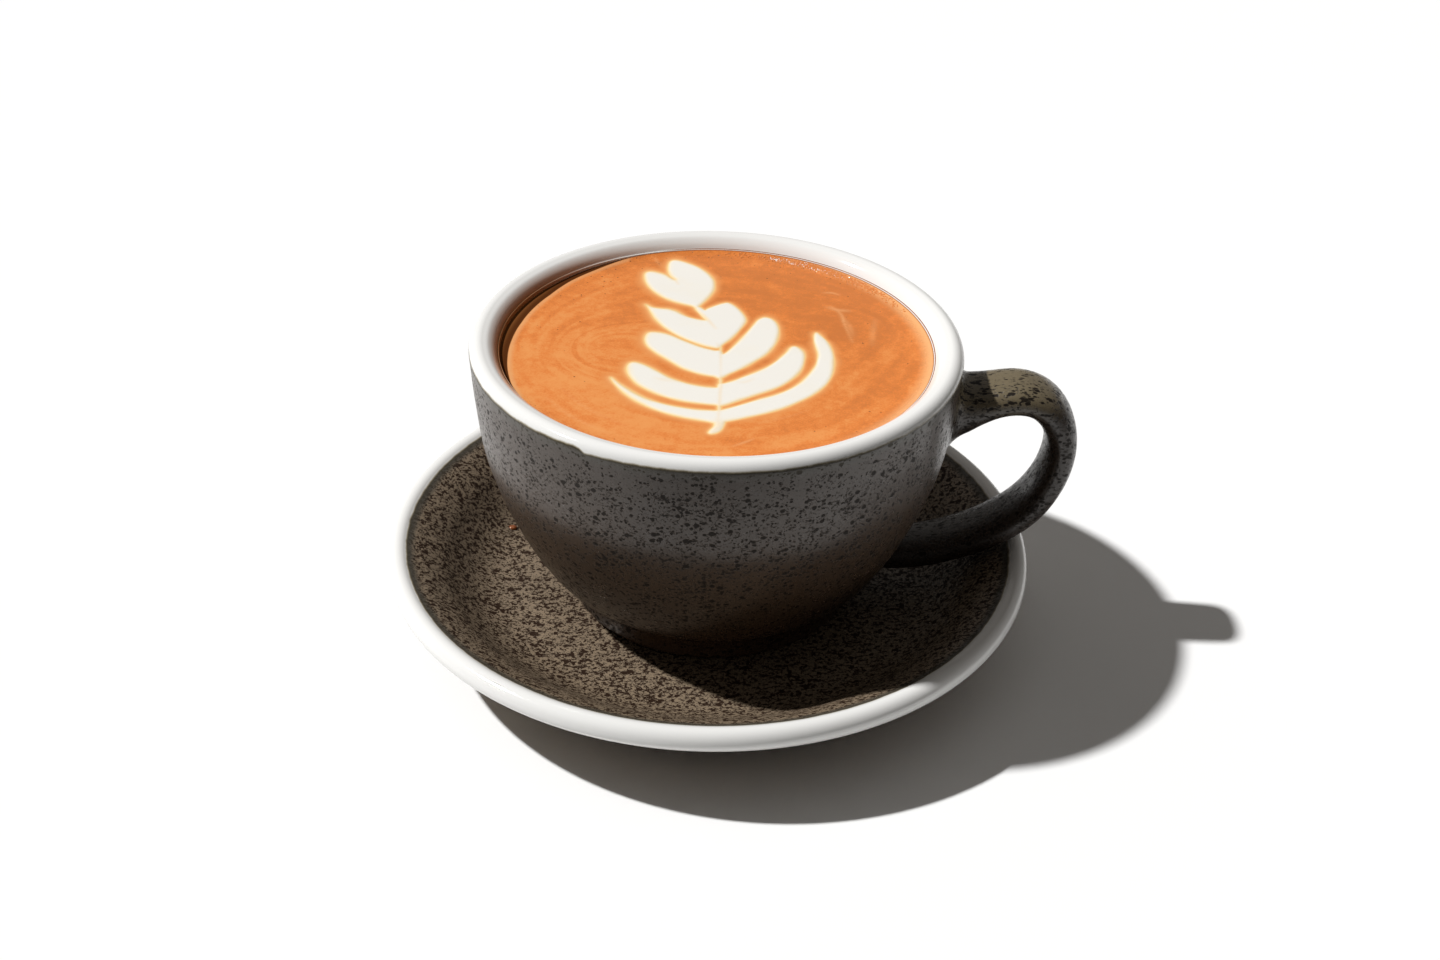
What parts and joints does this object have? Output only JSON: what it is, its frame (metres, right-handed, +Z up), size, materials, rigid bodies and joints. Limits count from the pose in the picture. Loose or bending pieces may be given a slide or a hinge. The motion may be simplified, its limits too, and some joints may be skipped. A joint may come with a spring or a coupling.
{
  "type": "latte in a cup with saucer",
  "caption": "Latte with a poured milk-foam leaf, filled nearly to the lip of a round-bellied speckled stoneware cup with a loop handle, standing on its dished saucer.",
  "frame": {"origin": "on the plane that the saucer stands on, under the middle of the whole set's length and width", "axes": "+Z up, +X towards the cup's handle, +Y away from the picture's camera"},
  "size_m": [0.16, 0.1514, 0.0739],
  "materials": {
    "cup_glaze": "satin speckled taupe outside, glossy white inside and over the lip",
    "saucer_glaze": "satin speckled brown-taupe above and below, glossy white bead",
    "coffee": "smooth wet crema, amber brown",
    "milk_foam": "fine wet micro-foam, off-white"
  },
  "bodies": {
    "root": {"cup": "cup_glaze", "saucer": "saucer_glaze", "coffee": "coffee", "milk_rosetta": "milk_foam"}
  },
  "joints": []
}
